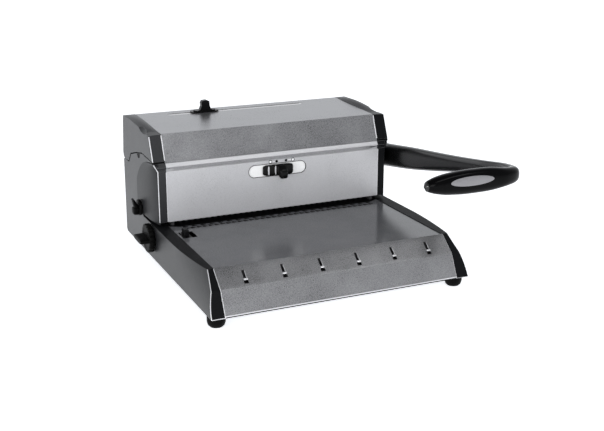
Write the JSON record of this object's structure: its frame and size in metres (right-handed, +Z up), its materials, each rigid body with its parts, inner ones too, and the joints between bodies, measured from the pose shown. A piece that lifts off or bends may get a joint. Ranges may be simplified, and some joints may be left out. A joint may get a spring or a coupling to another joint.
{
  "type": "binding machine",
  "caption": "Manual wire binding machine with a sloping paper tray, a lever-driven punch, a wire closer under a hinged cover, and side knobs.",
  "frame": {"origin": "centre of the footprint box, on the table", "axes": "+X to the right seen from the front, +Y to the back, +Z up"},
  "size_m": [0.3998, 0.4686, 0.2086],
  "materials": {
    "silver_paint": "silver metallic, fine grain",
    "tray_gloss": "dark grey, glossy",
    "rail_paint": "silver metallic, fine grain",
    "black_plastic": "charcoal, fine texture with a soft sheen",
    "handle_gloss": "black, glossy",
    "insert_grey": "grey, soft",
    "knob_plastic": "black, satin",
    "scale_white": "white",
    "chrome_wire": "polished",
    "rubber": "black",
    "zinc_sheet": "dark grey, satin",
    "tool_steel": "ground",
    "bright_steel": "turned",
    "bronze": "turned",
    "drawer_plastic": "black"
  },
  "bodies": {
    "root": {"base_pan": "zinc_sheet", "closer_anvil": "tool_steel", "cover_buffers": "rubber", "cover_hinge_pins": "bright_steel", "die_plate": "tool_steel", "edge_guide_rod": "bright_steel", "foot_screws": "bright_steel", "frame_tie_bars": "bright_steel", "front_panel": "silver_paint", "front_rail": "rail_paint", "front_scale_plate": "scale_white", "left_base_cap": "black_plastic", "left_body_cap": "black_plastic", "left_frame_plate": "zinc_sheet", "punch_guide": "tool_steel", "rear_panel": "zinc_sheet", "rear_panel_screws": "bright_steel", "right_base_cap": "black_plastic", "right_body_cap": "black_plastic", "right_frame_plate": "zinc_sheet", "rubber_feet": "rubber", "shaft_bushings": "bronze", "tray_plate": "tray_gloss", "wire_hooks": "chrome_wire"},
    "lever": {"lever_arm": "handle_gloss", "grip_insert": "insert_grey", "lever_bolt": "handle_gloss", "lever_shaft": "bright_steel", "drive_pinions": "tool_steel"},
    "press": {"press_beam": "tool_steel", "press_racks": "tool_steel", "fine_pitch_punches": "tool_steel", "coarse_pitch_punches": "tool_steel"},
    "closer": {"closer_jaw": "tool_steel", "closer_racks": "tool_steel"},
    "cover": {"cover_panel": "silver_paint", "left_cover_cap": "black_plastic", "right_cover_cap": "black_plastic", "top_scale_plate": "scale_white"},
    "wire_size_slider": {"top_slider": "knob_plastic", "top_slider_clip": "knob_plastic"},
    "pitch_selector": {"front_slider": "knob_plastic", "front_slider_clip": "knob_plastic"},
    "margin_knob": {"margin_knob": "knob_plastic", "margin_spindle": "bright_steel"},
    "edge_guide": {"edge_guide": "knob_plastic"},
    "depth_knob": {"depth_knob": "knob_plastic", "depth_shaft": "bright_steel", "depth_pinions": "tool_steel"},
    "depth_stop": {"depth_stop": "tool_steel"},
    "chip_drawer": {"chip_drawer": "drawer_plastic"}
  },
  "joints": [
    {"name": "lever_pivot", "type": "hinge", "parent": "root", "child": "lever", "pos_m": [-0.00155, 0.12734, 0.12], "axis": [-1, 0, 0], "range_deg": [0, 80]},
    {"name": "press_slide", "type": "slide", "parent": "root", "child": "press", "axis": [0, 0, 1], "range_m": [0, 0.01397]},
    {"name": "closer_slide", "type": "slide", "parent": "root", "child": "closer", "axis": [0, 1, 0], "range_m": [0, 0.01397]},
    {"name": "cover_hinge", "type": "hinge", "parent": "root", "child": "cover", "pos_m": [-0.00155, 0.22194, 0.1371], "axis": [-1, 0, 0], "range_deg": [0, 75]},
    {"name": "wire_size_slide", "type": "slide", "parent": "cover", "child": "wire_size_slider", "axis": [1, 0, 0], "range_m": [-0.028, 0.127]},
    {"name": "pitch_selector_slide", "type": "slide", "parent": "root", "child": "pitch_selector", "axis": [1, 0, 0], "range_m": [-0.016, 0.016]},
    {"name": "margin_knob_turn", "type": "hinge", "parent": "root", "child": "margin_knob", "pos_m": [-0.00155, 0.09734, 0.045], "axis": [-1, 0, 0], "range_deg": [0, 270]},
    {"name": "edge_guide_slide", "type": "slide", "parent": "root", "child": "edge_guide", "axis": [1, 0, 0], "range_m": [0, 0.00601]},
    {"name": "depth_knob_turn", "type": "hinge", "parent": "root", "child": "depth_knob", "pos_m": [-0.00155, 0.14934, 0.07345], "axis": [1, 0, 0], "range_deg": [0, 37.3]},
    {"name": "depth_stop_slide", "type": "slide", "parent": "root", "child": "depth_stop", "axis": [0, 1, 0], "range_m": [0, 0.0039]},
    {"name": "chip_drawer_slide", "type": "slide", "parent": "root", "child": "chip_drawer", "axis": [0, 1, 0], "range_m": [0, 0.12]}
  ],
  "couplings": [
    {"joint": "press_slide", "follows": "lever_pivot", "m_per_rad": 0.01},
    {"joint": "closer_slide", "follows": "lever_pivot", "m_per_rad": 0.01},
    {"joint": "edge_guide_slide", "follows": "margin_knob_turn", "m_per_rad": 0.0012732},
    {"joint": "depth_knob_turn", "follows": "depth_stop_slide", "rad_per_m": 166.67}
  ]
}
